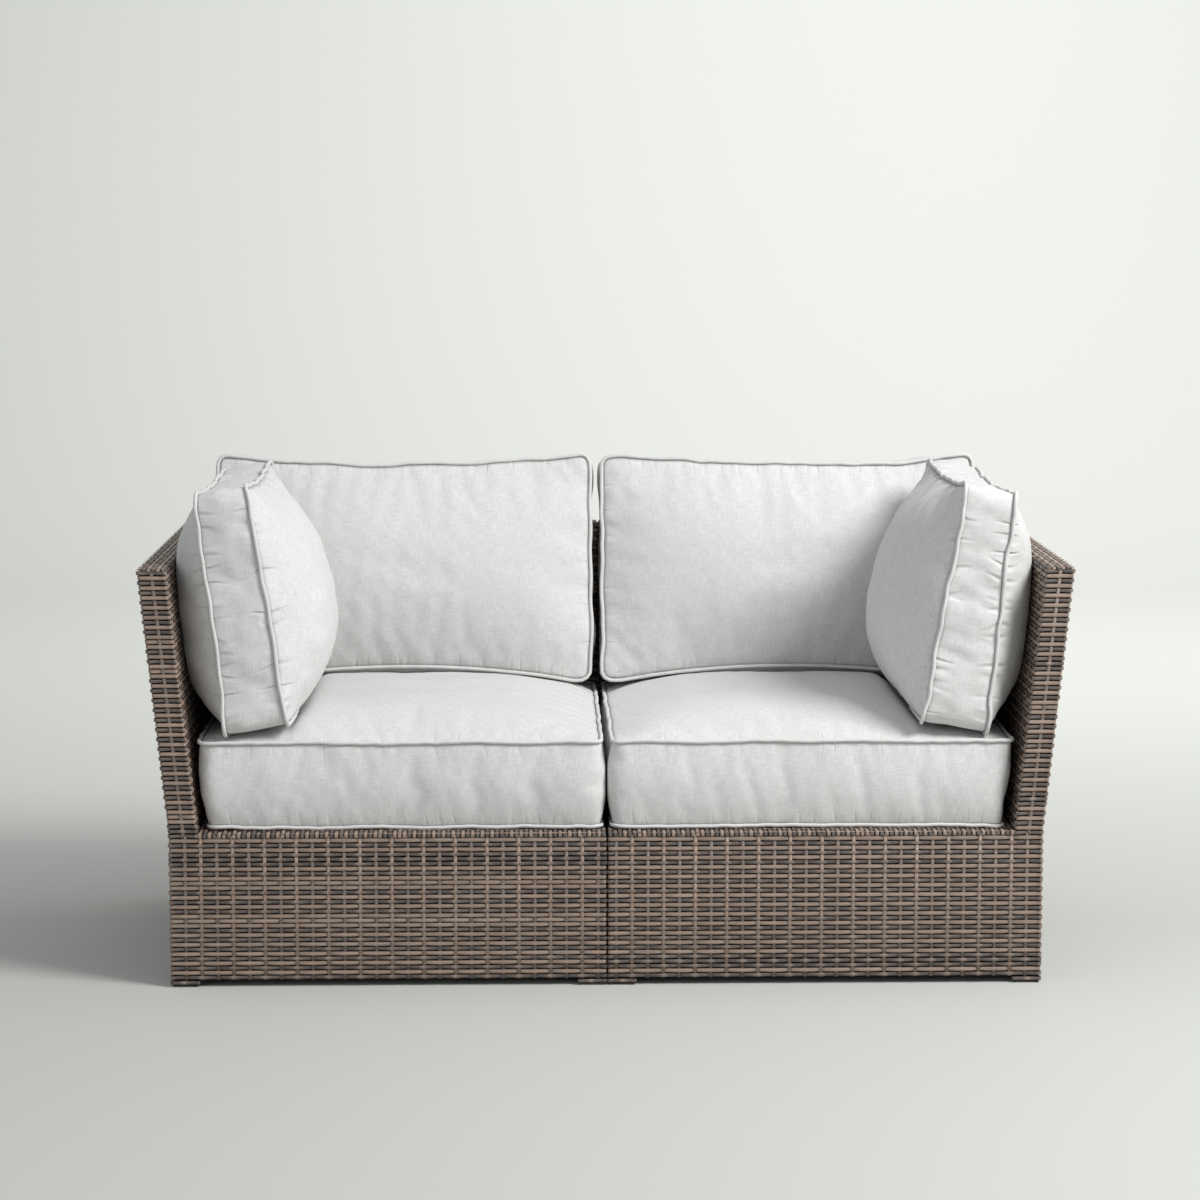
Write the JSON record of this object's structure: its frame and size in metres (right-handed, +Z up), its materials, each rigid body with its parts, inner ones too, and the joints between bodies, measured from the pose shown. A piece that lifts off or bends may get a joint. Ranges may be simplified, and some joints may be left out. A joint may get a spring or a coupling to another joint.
{
  "type": "patio loveseat",
  "caption": "Woven wicker patio loveseat: mirrored corner modules clipped side by side, with loose piped seat, back and side cushions.",
  "frame": {"origin": "middle of the footprint at floor level, in the plane where the modules meet", "axes": "+X to the right of someone facing the seat, +Y from the front to the back, +Z up"},
  "size_m": [1.6378, 0.8174, 0.8945],
  "materials": {
    "wicker": "flat woven synthetic wicker strips, dark brown-grey and tan, satin",
    "frame": "dark brown powder coat on welded tube",
    "glide": "moulded black plastic",
    "clip": "dark powder coat",
    "screw": "zinc-plated steel",
    "fabric": "light grey woven outdoor fabric, plain weave",
    "piping": "light grey bias-covered piping cord",
    "foam": "open-cell foam block",
    "zip": "grey nylon coil zip on tape",
    "slider": "grey lacquered zip slider"
  },
  "bodies": {
    "root": {"left_base_frame": "frame", "left_seat_slats": "frame", "left_arm_frame": "frame", "left_back_frame": "frame", "left_base_weave": "wicker", "left_deck_weave": "wicker", "left_arm_weave": "wicker", "left_back_weave": "wicker", "left_foot_glides": "glide", "right_base_frame": "frame", "right_seat_slats": "frame", "right_arm_frame": "frame", "right_back_frame": "frame", "right_base_weave": "wicker", "right_deck_weave": "wicker", "right_arm_weave": "wicker", "right_back_weave": "wicker", "right_foot_glides": "glide", "module_clips": "clip", "clip_screws": "screw"},
    "left_seat_cushion": {"left_seat_cover": "fabric", "left_seat_foam": "foam", "left_seat_piping": "piping", "left_seat_zip": "zip"},
    "left_back_cushion": {"left_back_cushion_cover": "fabric", "left_back_cushion_foam": "foam", "left_back_cushion_piping": "piping", "left_back_cushion_zip": "zip"},
    "left_side_cushion": {"left_side_cushion_cover": "fabric", "left_side_cushion_foam": "foam", "left_side_cushion_piping": "piping", "left_side_cushion_zip": "zip"},
    "right_seat_cushion": {"right_seat_cover": "fabric", "right_seat_foam": "foam", "right_seat_piping": "piping", "right_seat_zip": "zip"},
    "right_back_cushion": {"right_back_cushion_cover": "fabric", "right_back_cushion_foam": "foam", "right_back_cushion_piping": "piping", "right_back_cushion_zip": "zip"},
    "right_side_cushion": {"right_side_cushion_cover": "fabric", "right_side_cushion_foam": "foam", "right_side_cushion_piping": "piping", "right_side_cushion_zip": "zip"},
    "left_seat_zip_slider": {"left_seat_zip_slider": "slider"},
    "left_back_cushion_zip_slider": {"left_back_cushion_zip_slider": "slider"},
    "left_side_cushion_zip_slider": {"left_side_cushion_zip_slider": "slider"},
    "right_seat_zip_slider": {"right_seat_zip_slider": "slider"},
    "right_back_cushion_zip_slider": {"right_back_cushion_zip_slider": "slider"},
    "right_side_cushion_zip_slider": {"right_side_cushion_zip_slider": "slider"}
  },
  "joints": [
    {"name": "left_seat_cushion_lift", "type": "slide", "parent": "root", "child": "left_seat_cushion", "axis": [0, 0, 1], "range_m": [0, 0.5]},
    {"name": "left_back_cushion_lift", "type": "slide", "parent": "left_seat_cushion", "child": "left_back_cushion", "axis": [0, 0, 1], "range_m": [0, 0.45]},
    {"name": "left_side_cushion_lift", "type": "slide", "parent": "left_seat_cushion", "child": "left_side_cushion", "axis": [0, 0, 1], "range_m": [0, 0.45]},
    {"name": "right_seat_cushion_lift", "type": "slide", "parent": "root", "child": "right_seat_cushion", "axis": [0, 0, 1], "range_m": [0, 0.5]},
    {"name": "right_back_cushion_lift", "type": "slide", "parent": "right_seat_cushion", "child": "right_back_cushion", "axis": [0, 0, 1], "range_m": [0, 0.45]},
    {"name": "right_side_cushion_lift", "type": "slide", "parent": "right_seat_cushion", "child": "right_side_cushion", "axis": [0, 0, 1], "range_m": [0, 0.45]},
    {"name": "left_seat_zip_pull", "type": "slide", "parent": "left_seat_cushion", "child": "left_seat_zip_slider", "axis": [-1, 0, 0], "range_m": [0, 0.441]},
    {"name": "left_back_cushion_zip_pull", "type": "slide", "parent": "left_back_cushion", "child": "left_back_cushion_zip_slider", "axis": [-1, 0, 0], "range_m": [0, 0.457]},
    {"name": "left_side_cushion_zip_pull", "type": "slide", "parent": "left_side_cushion", "child": "left_side_cushion_zip_slider", "axis": [0, 1, 0], "range_m": [0, 0.323]},
    {"name": "right_seat_zip_pull", "type": "slide", "parent": "right_seat_cushion", "child": "right_seat_zip_slider", "axis": [1, 0, 0], "range_m": [0, 0.441]},
    {"name": "right_back_cushion_zip_pull", "type": "slide", "parent": "right_back_cushion", "child": "right_back_cushion_zip_slider", "axis": [1, 0, 0], "range_m": [0, 0.457]},
    {"name": "right_side_cushion_zip_pull", "type": "slide", "parent": "right_side_cushion", "child": "right_side_cushion_zip_slider", "axis": [0, 1, 0], "range_m": [0, 0.323]}
  ]
}
